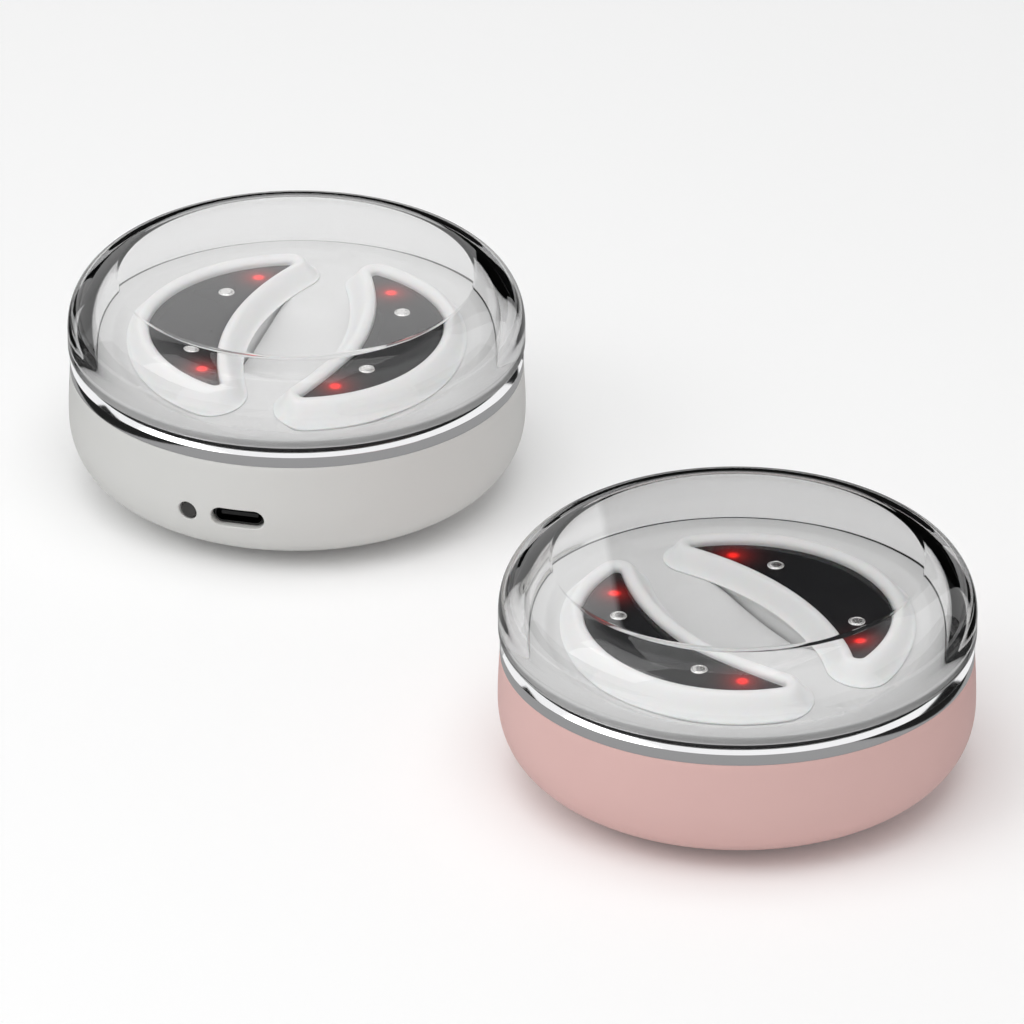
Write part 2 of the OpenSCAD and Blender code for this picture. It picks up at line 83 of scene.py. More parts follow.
# Gasket and lid
GASKET_R = 39.05
GASKET_BORE_R = 37.15
LID_R = 40.3
LID_FOOT_ROUND = 1.2
LID_BORE_R = 37.1
SHOULDER_W = 13.0
SHOULDER_H = 10.8
SHOULDER_POWER = 2.3
RIDGE_R = 31.6
DOME_SLOPE = 3.5
ROOF = 1.8
CAVITY_R = 31.2
RIDGE_ROUND = 2.5
CAVITY_ROUND = 0.8

# Eye pods
WINDOW_OUTER_R = 26.4
WINDOW_INNER_R = 56.8
WINDOW_INNER_X = 44.3
WINDOW_TIP_R = 0.9
WINDOW_T = 1.0
GLASS_GAP = 0.1
LEDGE_W = 0.7
LEDGE_T = 0.8
RIM_W = 4.6
NECK_D = 3.95
FLANGE_Z = 25.02
FLANGE_T = 0.22
CROWN_X = 1.4
CROWN_IN_H = 1.2
POCKET_GAP = 0.25
BACK_D = 3.6
BACK_LIP = 1.0
BACK_RECESS = 0.4
SOLE_ROUND = 0.6
SOLE_EDGE = 1.6
ELECTRODE_AT = (20.0, 36.5)
ELECTRODE_R = 1.45
LED_AT = (22.5, 57.3)

# Tray
BOWL_R = 29.1
BOWL_LOW_Z = 20.2
TRAY_EDGE_R = 35.0
TRAY_RISE_R = 31.2
TRAY_RISE_W = 2.9
TRAY_RISE_H = 1.35
TRAY_BLEND = 1.2
COLLAR_R = 37.0
COLLAR_ROUND = 0.3
POCKET_WALL = 1.3
POCKET_FLOOR = 1.2
POCKET_ROUND = 0.25


def arc(low, high, count):
    """Cosines and sines of evenly spaced angles from low to high."""
    a = np.radians(np.linspace(low, high, count))
    return np.cos(a), np.sin(a)


# Places and meshes

def linked(name, data):
    """A new object in the scene that carries a mesh, a lamp or a camera."""
    obj = bpy.data.objects.new(name, data)
    bpy.context.scene.collection.objects.link(obj)
    return obj


def placed(points, case, turn=0.0):
    """Turns points in millimetres about the case's axis, moves them to the case, and gives metres."""
    x, case_turn = CASES[case]
    a = math.radians(case_turn + turn)
    p = np.asarray(points, float).reshape(-1, 3)
    return MM * np.stack([
        x + math.cos(a) * p[:, 0] - math.sin(a) * p[:, 1],
        math.sin(a) * p[:, 0] + math.cos(a) * p[:, 1],
        p[:, 2],
    ], axis=1)


class Shape:
    """Gathers grids of points, each rows x columns x 3, and welds their shared edges into one surface."""

    def __init__(self):
        self.points = []
        self.faces = []
        self.count = 0

    def add(self, points, ring=False):
        """Adds one grid of quads. A ring also joins the last column to the first."""
        rows, columns = points.shape[:2]
        gaps = columns if ring else columns - 1
        i, j = np.meshgrid(np.arange(rows - 1), np.arange(gaps), indexing="ij")
        k = (j + 1) % columns
        low, high = i * columns, (i + 1) * columns
        quads = np.stack([low + j, low + k, high + k, high + j], axis=-1)
        self.faces.append(self.count + quads.reshape(-1, 4))
        self.points.append(points.reshape(-1, 3))
        self.count += rows * columns
        return self

    def piece(self, name, case, body, material, slot, replaces=(), turn=0.0, sharp=50.0, own=False):
        """Welds the grids, turns the faces outwards and hangs the piece on its body. With own, the mesh also
        carries the grids' own coordinates, before any turn, as a UV layer."""
        points = np.concatenate(self.points)
        mesh = bpy.data.meshes.new(name)
        mesh.from_pydata(placed(points, case, turn).tolist(), [], np.concatenate(self.faces).tolist())
        mesh.update()
        if own:
            layer = mesh.uv_layers.new(name="own")
            corner = np.empty(len(mesh.loops), int)
            mesh.loops.foreach_get("vertex_index", corner)
            layer.data.foreach_set("uv", (points[corner][:, :2] * MM).ravel())
        bm = bmesh.new()
        bm.from_mesh(mesh)
        bmesh.ops.remove_doubles(bm, verts=bm.verts, dist=WELD)
        bmesh.ops.dissolve_degenerate(bm, edges=bm.edges, dist=WELD / 20)
        bmesh.ops.recalc_face_normals(bm, faces=bm.faces)
        if bm.calc_volume(signed=True) < 0:
            bmesh.ops.reverse_faces(bm, faces=bm.faces)
        bm.to_mesh(mesh)
        bm.free()
        mesh.shade_smooth()
        mesh.set_sharp_from_angle(angle=math.radians(sharp))
        mesh.materials.append(material)
        obj = linked(name, mesh)
        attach(obj, body)
        if replaces:
            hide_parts(*replaces)
        return obj


def filleted(corners, steps=6):
    """Outline from corners (x, y, radius): each corner becomes the arc that touches both of its sides."""
    at = np.array([c[:2] for c in corners], float)
    out = []
    for i, (x, y, radius) in enumerate(corners):
        if radius == 0:
            out.append([[x, y]])
            continue
        before = at[i - 1] - at[i]
        after = at[(i + 1) % len(at)] - at[i]
        before, after = before / np.linalg.norm(before), after / np.linalg.norm(after)
        half = 0.5 * math.acos(float(np.clip(before @ after, -1, 1)))
        middle = (before + after) / np.linalg.norm(before + after)
        centre = at[i] + middle * radius / math.sin(half)
        first = at[i] + before * radius / math.tan(half) - centre
        last = at[i] + after * radius / math.tan(half) - centre
        start = math.atan2(first[1], first[0])
        sweep = (math.atan2(last[1], last[0]) - start + math.pi) % (2 * math.pi) - math.pi
        a = start + sweep * np.linspace(0, 1, steps)
        out.append(centre + radius * np.stack([np.cos(a), np.sin(a)], axis=1))
    return np.concatenate(out)


def carried(profile, c, s):
    """Grid of a profile (radius, height) at each of the directions whose cosines and sines are given."""
    r, z = profile[:, :1], profile[:, 1:]
    return np.stack([r * c, r * s, z + 0 * c], axis=-1)


def revolved(profile, columns):
    """Grid of a profile (radius, height) carried round the axis. An open profile has to end on the axis."""
    return carried(profile, *arc(0, 360 * (1 - 1 / columns), columns))


def closed(profile):
    """The same outline with its first point repeated at the end."""
    return np.concatenate([profile, profile[:1]])


# The crescent of an eye pod

TIP_SPAN = WINDOW_OUTER_R - WINDOW_TIP_R
TIP_REACH = WINDOW_INNER_R + WINDOW_TIP_R
TIP_X = (TIP_SPAN ** 2 - TIP_REACH ** 2 + WINDOW_INNER_X ** 2) / (2 * WINDOW_INNER_X)
TIP_Y = math.sqrt(TIP_SPAN ** 2 - TIP_X ** 2)
TIP_ANGLE = math.degrees(math.atan2(TIP_Y, TIP_X))
INNER_ANGLE = math.degrees(math.atan2(TIP_Y, WINDOW_INNER_X - TIP_X))


def crescent(outer_steps, inner_steps, tip_steps):
    """Stations round the window's outline, as points and outward directions: from the lower tip's middle
    along the inner arc to the upper tip, then back round the outer arc. Tips are arcs about their own
    centres, and each has a station that looks at the tray's corner."""
    corner = math.degrees(math.atan2(TRAY_EDGE_R - TIP_Y, -TIP_X))
    parts = []

    def add(centre, radius, first, last, steps, sign=1):
        a = np.radians(np.linspace(first, last, steps, endpoint=False))
        direction = np.stack([np.cos(a), np.sin(a)], axis=1)
        parts.append((centre + radius * direction, sign * direction))

    low_tip, high_tip = np.array([TIP_X, -TIP_Y]), np.array([TIP_X, TIP_Y])
    inner_centre = np.array([WINDOW_INNER_X, 0])
    add(low_tip, WINDOW_TIP_R, -corner, INNER_ANGLE, tip_steps)
    add(inner_centre, WINDOW_INNER_R, 180 + INNER_ANGLE, 180 - INNER_ANGLE, inner_steps, -1)
    add(high_tip, WINDOW_TIP_R, -INNER_ANGLE, corner, tip_steps)
    add(high_tip, WINDOW_TIP_R, corner, TIP_ANGLE, tip_steps)
    add(np.zeros(2), WINDOW_OUTER_R, TIP_ANGLE, 360 - TIP_ANGLE, outer_steps)
    add(low_tip, WINDOW_TIP_R, -TIP_ANGLE, -corner, tip_steps)
    return np.concatenate([p for p, _ in parts]), np.concatenate([d for _, d in parts])


# Steps along the outer arc, the inner arc and each part of a tip; HALF is the count from tip to tip inside.
STEPS = (110, 86, 12)
EVEN_STEPS = (86, 86, 12)
HALF = STEPS[1] + 2 * STEPS[2]


def raised(xy, z):
    """Grid of points (x, y) with the height z, or a height for each row, added to them."""
    return np.concatenate([xy, (z + 0 * xy[..., 0])[..., None]], axis=-1)


def swept(profile, steps=STEPS):
    """Grid of a profile (distance outside the window, height) carried round the crescent."""
    point, out = crescent(*steps)
    return raised(point + profile[:, 0][:, None, None] * out, profile[:, 1][:, None])


def between(inner, outer, rows, z):
    """Flat grid of straight lines that join two edges at the height z."""
    t = np.linspace(0, 1, rows)[:, None, None]
    return raised((1 - t) * inner + t * outer, z)


def crescent_cap(d, z):
    """Flat fill of the crescent at distance d, for outlines swept with even steps."""
    point, out = crescent(*EVEN_STEPS)
    edge = point + d * out
    outer = edge[(len(edge) - np.arange(HALF + 1)) % len(edge)]
    return between(edge[:HALF + 1], outer, 8, z)


def crescent_fill(d, z):
    """Flat fill of the crescent at distance d, for outlines swept with more steps outside than inside: the
    outer edge is sampled again at as many points as the inner edge has."""
    point, out = crescent(*STEPS)
    edge = point + d * out
    back = np.concatenate([edge[:1], edge[:HALF - 1:-1]])
    share = np.linspace(0, len(back) - 1, HALF + 1)
    low = np.floor(share).astype(int)
    high = np.minimum(low + 1, len(back) - 1)
    f = (share - low)[:, None]
    return between(edge[:HALF + 1], back[low] * (1 - f) + back[high] * f, 6, z)


# Shader maths

class Value:
    """A shader socket that takes part in arithmetic: each operator adds one Math node."""

    def __init__(self, material, socket):
        self.material = material
        self.socket = socket

    def math(self, operation, other=None):
        values = [self] if other is None else [self, other]
        return self.material.node("ShaderNodeMath", {"operation": operation}, values)

    def __add__(self, other):
        return self.math("ADD", other)

    def __sub__(self, other):
        return self.math("SUBTRACT", other)

    def __rsub__(self, other):
        return (self * -1) + other

    def __mul__(self, other):
        return self.math("MULTIPLY", other)

    def __truediv__(self, other):
        return self.math("DIVIDE", other)

    def clamped(self):
        """Held between 0 and 1."""
        return self.math("MAXIMUM", 0.0).math("MINIMUM", 1.0)

    __radd__ = __add__
    __rmul__ = __mul__


class Finish:
    """A material, or the world, under construction."""

    def __init__(self, name, world=False):
        self.data = (bpy.data.worlds if world else bpy.data.materials).new(name)
        self.output = "ShaderNodeOutputWorld" if world else "ShaderNodeOutputMaterial"
        self.data.use_nodes = True
        self.tree = self.data.node_tree
        self.tree.nodes.clear()

    def node(self, kind, settings=None, inputs=(), out=0):
        """Adds a node: settings first, then its inputs by number or name, as values or links."""
        n = self.tree.nodes.new(kind)
        for key, value in (settings or {}).items():
            setattr(n, key, value)
        pairs = inputs.items() if isinstance(inputs, dict) else enumerate(inputs)
        for key, value in pairs:
            if isinstance(value, Value):
                self.tree.links.new(value.socket, n.inputs[key])
            else:
                n.inputs[key].default_value = value
        return Value(self, n.outputs[out]) if n.outputs else None

    def place(self):
        """Object coordinates, in metres."""
        return self.node("ShaderNodeTexCoord", out="Object")

    def noise(self, size, detail=2.0, rough=0.5):
        """Noise between 0 and 1 whose features are about size millimetres across."""
        return self.node("ShaderNodeTexNoise", {"noise_dimensions": "3D"}, {
            "Vector": self.place(), "Scale": 1000.0 / size, "Detail": detail, "Roughness": rough}, out="Fac")

    def mix(self, factor, a, b):
        """Mixes two colours."""
        return self.node("ShaderNodeMix", {"data_type": "RGBA"}, {0: factor, 6: a, 7: b}, out=2)

    def bump(self, height, depth):
        """Normal from a height of 0 to 1 that stands for depth millimetres."""
        return self.node("ShaderNodeBump", None, {"Height": height, "Distance": depth * MM, "Strength": 1.0})

    def surface(self, **inputs):
        """Principled surface; names use underscores for spaces."""
        spaced = {name.replace("_", " "): value for name, value in inputs.items()}
        return self.node("ShaderNodeBsdfPrincipled", None, spaced)

    def ray(self, kind):
        """What the light path says of the ray: 1 or 0 for a kind of ray, or a count."""
        return self.node("ShaderNodeLightPath", out=kind)

    def seen(self):
        """1 for rays from the camera, off gloss and through glass, else 0."""
        glass = self.ray("Is Glossy Ray").math("MAXIMUM", self.ray("Is Transmission Ray"))
        return self.ray("Is Camera Ray").math("MAXIMUM", glass)

    def done(self, shader, volume=None):
        """Ends the material or world with its shader, and the volume inside it if it has one."""
        inputs = {"Surface": shader}
        if volume:
            inputs["Volume"] = volume
        self.node(self.output, None, inputs)
        return self.data


def soft_paint(name, light, deep):
    """Soft-touch paint: faint cloudy tone, very fine grain that breaks up the sheen."""
    f = Finish(name)
    cloud = f.noise(18, 3)
    grain = f.noise(0.35, 2)
    return f.done(f.surface(
        Base_Color=f.mix(cloud, light, deep), Roughness=0.40 + 0.10 * grain,
        Normal=f.bump(grain, 0.006), Specular_IOR_Level=0.45, Coat_Weight=0.06, Coat_Roughness=0.45))


def moulded(name, light, deep, rough, grain_size=0.6, depth=0.004, **more):
    """Moulded plastic or silicone: slow tone drift and a fine moulding grain."""
    f = Finish(name)
    tone = f.noise(9, 2)
    grain = f.noise(grain_size, 3)
    return f.done(f.surface(
        Base_Color=f.mix(tone, light, deep), Roughness=(rough - 0.04) + 0.08 * grain,
        Normal=f.bump(grain, depth), **more))


def metal(name, light, deep, rough, scratch=0.5, depth=0.002):
    """Plated or bare metal with tiny handling marks in its roughness."""
    f = Finish(name)
    marks = f.noise(scratch, 4, 0.7)
    tone = f.noise(7, 2)
    return f.done(f.surface(
        Base_Color=f.mix(tone, light, deep), Metallic=1.0, Roughness=(rough * 0.8) + (rough * 0.5) * marks,
        Normal=f.bump(marks, depth)))


LID_ABSORPTION = 36.0


def clear_plastic(name):
    """Polished clear plastic. Shadow rays pass straight through, so that light reaches what lies below."""
    f = Finish(name)
    smear = f.noise(14, 2)
    glass = f.surface(
        Base_Color=(1.0, 1.0, 1.0, 1.0), Roughness=(0.012 * smear).clamped(), IOR=1.49,
        Transmission_Weight=1.0)
    through = f.node("ShaderNodeBsdfTransparent", None, {"Color": (0.93, 0.93, 0.93, 1.0)})
    tint = f.node("ShaderNodeVolumeAbsorption", None, {
        "Color": (0.0, 0.0, 0.0, 1.0), "Density": LID_ABSORPTION})
    return f.done(f.node("ShaderNodeMixShader", None, [f.ray("Is Shadow Ray"), glass, through]), tint)


GLOW_CORE_R = 1.15
GLOW_CORE = 0.75
GLOW_HALO = 0.45
HALO_FALL = -0.75
GLOW_STRENGTH = 1.6


def lit_window(name):
    """Smoked window: near-black gloss, with a red lamp and its halo glowing through at both ends. The core
    fades evenly with the distance from the lamp's middle, and the halo by a steady share per millimetre."""
    f = Finish(name)
    at = f.node("ShaderNodeUVMap", {"uv_map": "own"})
    x = f.node("ShaderNodeSeparateXYZ", None, [at], out="X")
    y = f.node("ShaderNodeSeparateXYZ", None, [at], out="Y")
    led_x = -LED_AT[0] * math.cos(math.radians(LED_AT[1])) * MM
    led_y = LED_AT[0] * math.sin(math.radians(LED_AT[1])) * MM
    dx = x - led_x
    dy = y.math("ABSOLUTE") - led_y
    away = (dx * dx + dy * dy).math("SQRT") / MM
    core = (GLOW_CORE_R - away / GLOW_CORE_R).clamped()
    halo = (away * HALO_FALL).math("EXPONENT")
    glow = core * GLOW_CORE + halo * GLOW_HALO
    dust = f.noise(0.8, 3)
    depth = f.noise(11, 2)
    return f.done(f.surface(
        Base_Color=f.mix(depth, (0.010, 0.010, 0.011, 1), (0.016, 0.016, 0.017, 1)),
        Roughness=0.055 + 0.012 * dust,
        Emission_Color=f.mix(glow.clamped(), (0, 0, 0, 1), (1.0, 0.018, 0.012, 1)),
        Emission_Strength=GLOW_STRENGTH, Specular_IOR_Level=0.07))


def circuit_board(name):
    """Green solder mask with pale copper lands showing as a fine regular pattern."""
    f = Finish(name)
    track = f.node("ShaderNodeTexBrick", {"offset": 0.5}, {
        "Vector": f.place(), "Scale": 420.0, "Mortar Size": 0.06,
        "Color1": (0.02, 0.12, 0.06, 1), "Color2": (0.03, 0.16, 0.08, 1), "Mortar": (0.10, 0.30, 0.14, 1)})
    return f.done(f.surface(Base_Color=track, Roughness=0.35 + 0.1 * f.noise(1.5)))


WHITE_PAINT = soft_paint("white_paint", (0.77, 0.77, 0.75, 1), (0.74, 0.74, 0.72, 1))
PINK_PAINT = soft_paint("pink_paint", (0.84, 0.55, 0.515, 1), (0.81, 0.52, 0.49, 1))
CHROME = metal("bright_metal", (0.90, 0.90, 0.91, 1), (0.86, 0.86, 0.87, 1), 0.08)
GASKET = moulded("black_gasket", (0.012, 0.012, 0.012, 1), (0.02, 0.02, 0.02, 1), 0.5)
FOOT = moulded("foot_plastic", (0.05, 0.05, 0.052, 1), (0.07, 0.07, 0.072, 1), 0.7, 0.4, 0.02)
LID = clear_plastic("clear_plastic")
TRAY = moulded("tray_plastic", (0.72, 0.72, 0.72, 1), (0.70, 0.70, 0.70, 1), 0.26, Specular_IOR_Level=0.4)
SILICONE = moulded("soft_rim", (0.78, 0.78, 0.78, 1), (0.76, 0.76, 0.76, 1), 0.34, 0.3, 0.003,
                   Subsurface_Weight=0.12, Subsurface_Scale=0.001)
POD_PLASTIC = moulded("pod_plastic", (0.80, 0.80, 0.80, 1), (0.78, 0.78, 0.78, 1), 0.3)
WINDOW = lit_window("smoked_window")
ELECTRODE = metal("electrode_metal", (0.88, 0.87, 0.86, 1), (0.82, 0.81, 0.80, 1), 0.25, 0.3)
BUTTON = moulded("button_plastic", (0.045, 0.043, 0.042, 1), (0.06, 0.058, 0.056, 1), 0.42, 0.2, 0.01)
# The socket's near-black metal is painted shade: it stands for the shade deep inside the charging port.
SHADED_SOCKET = metal("socket_metal_painted_shade", (0.05, 0.05, 0.05, 1), (0.08, 0.08, 0.08, 1), 0.3)
STEEL = metal("screw_steel", (0.55, 0.55, 0.57, 1), (0.45, 0.45, 0.47, 1), 0.3)
NICKEL = metal("magnet_nickel", (0.62, 0.61, 0.60, 1), (0.55, 0.54, 0.53, 1), 0.2)
GOLD = metal("contact_gold", (0.90, 0.66, 0.28, 1), (0.84, 0.60, 0.25, 1), 0.18)
FOIL = metal("battery_foil", (0.62, 0.64, 0.68, 1), (0.52, 0.54, 0.58, 1), 0.35, 1.5, 0.05)
BOARD = circuit_board("circuit_board")
LAMP = moulded("red_lamp", (0.8, 0.03, 0.02, 1), (0.7, 0.02, 0.015, 1), 0.2)


# Case shell

def side_curve(z, wall, sole_r):
    """Radius at a height: a superellipse corner up to the belly, then a slight draw-in to the seam, a wall's
    thickness inside the outer surface."""
    low = np.clip((BELLY_Z - z) / (BELLY_Z - SOLE_Z - wall), 0, 1)
    corner = sole_r + (BELLY_R - wall - sole_r) * (1 - low ** CORNER_POWER) ** (1 / CORNER_POWER)
    rise = np.clip((z - BELLY_Z) / (SEAM_Z - wall - BELLY_Z), 0, 1)
    upper = SEAM_R - wall + (BELLY_R - SEAM_R) * np.cos(rise * math.pi / 2)
    return np.where(z < BELLY_Z, corner, upper)


def outer_side(z):
    """Outside radius of the shell at a height."""
    return side_curve(z, 0, SOLE_R)


def inner_side(z):
    """Inside radius of the shell at a height."""
    return side_curve(z, SHELL_WALL, SOLE_R - 1)


SHELL_COLUMNS = 480
HOLE_LOW_Z = 7.7
HOLE_HIGH_Z = 14.7
HOLE_ROWS = 10
COLUMN_ANGLE = 360 / SHELL_COLUMNS
PORT_SPAN = (-12, 12)
BUTTON_SPAN = (-24, -12)
PORT_AZIMUTH = -90.0


def corner_heights(low, high, count):
    """Heights that crowd towards the flat underside, evenly spaced along the corner's curve."""
    a = np.radians(np.linspace(0, 90, count))
    z = low + (BELLY_Z - low) * (1 - np.cos(a) ** (2 / CORNER_POWER))
    return z[z < high - 0.05]


def hole_patch(span, centre_angle, centre_z, half_w, half_h):
    """Fills a window of the shell's side round a hole: rows run from the window's edge over the outside to a
    rounded lip, through the wall and back over the inside. Columns go round, sharing a stadium's length by
    equal steps."""
    across, up = span[1] - span[0], HOLE_ROWS
    angle0 = math.radians(PORT_AZIMUTH + centre_angle)
    a = np.radians(PORT_AZIMUTH + COLUMN_ANGLE * np.linspace(span[0], span[1], across + 1))
    z = np.linspace(HOLE_LOW_Z, HOLE_HIGH_Z, up + 1)
    mid = up // 2
    edge_a = np.concatenate([
        np.full(up - mid, a[-1]), a[:0:-1], np.full(up, a[0]), a[:-1], np.full(mid, a[-1])])
    edge_z = np.concatenate([
        z[mid:-1], np.full(across, z[-1]), z[:0:-1], np.full(across, z[0]), z[:mid]])
    count = len(edge_a)
    straight, bend = 2 * (half_w - half_h), math.pi * half_h
    total = 2 * (straight + bend)
    s = (np.arange(count) / count * total + 1e-9) % total
    turn = bend / 2
    beyond = [turn, turn + straight, turn + straight + bend, turn + 2 * straight + bend]
    part = np.searchsorted(beyond, s)
    angle = np.choose(part, [
        s / half_h, math.pi / 2, math.pi / 2 + (s - beyond[1]) / half_h, 1.5 * math.pi,
        1.5 * math.pi + (s - beyond[3]) / half_h])
    core = np.choose(part, [
        straight / 2, straight / 2 - (s - beyond[0]), -straight / 2, -straight / 2 + (s - beyond[2]),
        straight / 2])
    c, sn = np.cos(angle), np.sin(angle)

    def outline(grow):
        return core + (half_h + grow) * c, centre_z + (half_h + grow) * sn

    def point(u, height, depth):
        x = depth * math.cos(angle0) - u * math.sin(angle0)
        y = depth * math.sin(angle0) + u * math.cos(angle0)
        return np.stack([x, y, height + 0 * x], axis=-1)

    def spread(side, grow, weights):
        edge_u = side(edge_z) * np.sin(edge_a - angle0)
        u1, z1 = outline(grow)
        w = weights[:, None]
        u = (1 - w) * edge_u + w * u1
        height = (1 - w) * edge_z + w * z1
        return point(u, height, np.sqrt(side(height) ** 2 - u ** 2))

    rows = [spread(outer_side, LIP, np.linspace(0, 1, 9))]
    for q in np.radians(np.linspace(0, 90, 6))[1:]:
        u, height = outline(LIP * (1 - math.sin(q)))
        depth = np.sqrt(outer_side(height) ** 2 - u ** 2) - LIP * (1 - math.cos(q))
        rows.append(point(u, height, depth)[None])
    rows.append(spread(inner_side, 0, np.linspace(1, 0, 6)))
    return np.concatenate(rows)


def shell(case, paint):
    """The lower housing: a revolved wall with two windows left out, which the hole patches fill."""
    low_out = corner_heights(SOLE_Z, HOLE_LOW_Z, 40)
    low_in = corner_heights(SOLE_Z + SHELL_WALL, HOLE_LOW_Z, 24)
    hole = np.linspace(HOLE_LOW_Z, HOLE_HIGH_Z, HOLE_ROWS + 1)
    top_out = np.linspace(HOLE_HIGH_Z, SEAM_Z - 0.12, 8)[1:]
    top_in = np.linspace(HOLE_HIGH_Z, SEAM_Z - SHELL_WALL, 6)[1:]
    out_z = np.concatenate([low_out, hole, top_out])
    in_z = np.concatenate([low_in, hole, top_in])[::-1]
    groove = filleted([
        (FOOT_IN_R, SOLE_Z, 0.1), (FOOT_IN_R, FOOT_DEPTH_Z, 0), (FOOT_OUT_R, FOOT_DEPTH_Z, 0),
        (FOOT_OUT_R, SOLE_Z, 0.1)], 3)
    top = np.array([
        [SEAM_R - 0.04, SEAM_Z - 0.03], [SEAM_R - 0.15, SEAM_Z], [SHELF_R, SEAM_Z],
        [SHELF_R, SEAM_Z - SHELL_WALL]])
    profile = np.concatenate([
        [[0, SOLE_Z]], groove, np.stack([outer_side(out_z), out_z], axis=1), top,
        np.stack([inner_side(in_z), in_z], axis=1), [[0, SOLE_Z + SHELL_WALL]]])
    first_out = 1 + len(groove) + len(low_out)
    first_in = 1 + len(groove) + len(out_z) + len(top) + len(top_in)
    c, s = arc(PORT_AZIMUTH, PORT_AZIMUTH + 360, SHELL_COLUMNS + 1)
    wall = carried(profile, c, s)
    past_windows = slice(PORT_SPAN[1], SHELL_COLUMNS + BUTTON_SPAN[0] + 1)
    shape = Shape()
    shape.add(wall[:first_out + 1])
    shape.add(wall[first_out:first_out + HOLE_ROWS + 1, past_windows])
    shape.add(wall[first_out + HOLE_ROWS:first_in + 1])
    shape.add(wall[first_in:first_in + HOLE_ROWS + 1, past_windows])
    shape.add(wall[first_in + HOLE_ROWS:])
    port = hole_patch(PORT_SPAN, 0, PORT_Z, PORT_HALF_W, PORT_HALF_H)
    button_hole = hole_patch(BUTTON_SPAN, -BUTTON_ANGLE, BUTTON_Z, BUTTON_HOLE_R, BUTTON_HOLE_R - 1e-4)
    shape.add(port, ring=True).add(button_hole, ring=True)
    shape.piece(
        f"{case}_shell", case, f"{case}_case", paint, f"shell_{case}", [f"{case}_base_shell"], sharp=40)


def foot(case):
    """The foot ring: a flat ring with rounded lower edges."""
    profile = filleted([
        (FOOT_IN_R, 0, 0.25), (FOOT_OUT_R, 0, 0.25), (FOOT_OUT_R, FOOT_DEPTH_Z, 0),
        (FOOT_IN_R, FOOT_DEPTH_Z, 0)], 5)
    Shape().add(revolved(closed(profile), 160), ring=True).piece(
        f"{case}_foot", case, f"{case}_case", FOOT, "foot_rubber", [f"{case}_foot_ring"])


def chrome_ring(case):
    """The bright ring: an upright band, a crisp bevel and a flat top."""
    profile = filleted([
        (RING_BORE_R, SEAM_Z, 0), (SEAM_R, SEAM_Z, 0.06), (SEAM_R, RING_TOP_Z - RING_BEVEL, 0.10),
        (SEAM_R - RING_BEVEL, RING_TOP_Z, 0.10), (RING_BORE_R, RING_TOP_Z, 0)], 5)
    Shape().add(revolved(closed(profile), 480), ring=True).piece(
        f"{case}_ring", case, f"{case}_case", CHROME, "ring_metal", [f"{case}_chrome_ring"], sharp=60)


def gasket(case):
    """The thin gasket: a flat ring with rounded edges."""
    profile = filleted([
        (GASKET_BORE_R, RING_TOP_Z, 0), (GASKET_R, RING_TOP_Z, 0.12), (GASKET_R, LID_Z, 0.12),
        (GASKET_BORE_R, LID_Z, 0)], 5)
    Shape().add(revolved(closed(profile), 360), ring=True).piece(
        f"{case}_seal", case, f"{case}_case", GASKET, "gasket_rubber", [f"{case}_gasket"])


def shoulder_curve(width, height, r, slopes):
    """Quarter of a superellipse that stands upright at radius r and leans in over it, up to where its slope
    has fallen to the last of the given angles. Its parameter is solved from the slope."""
    power = SHOULDER_POWER
    ratio = (np.tan(np.radians(slopes)) * width / height) ** (1 / (power - 1))
    high = (1 + ratio ** power) ** (-1 / power)
    return np.stack([r - width + width * ratio * high, SHOULDER_Z + height * high], axis=1)


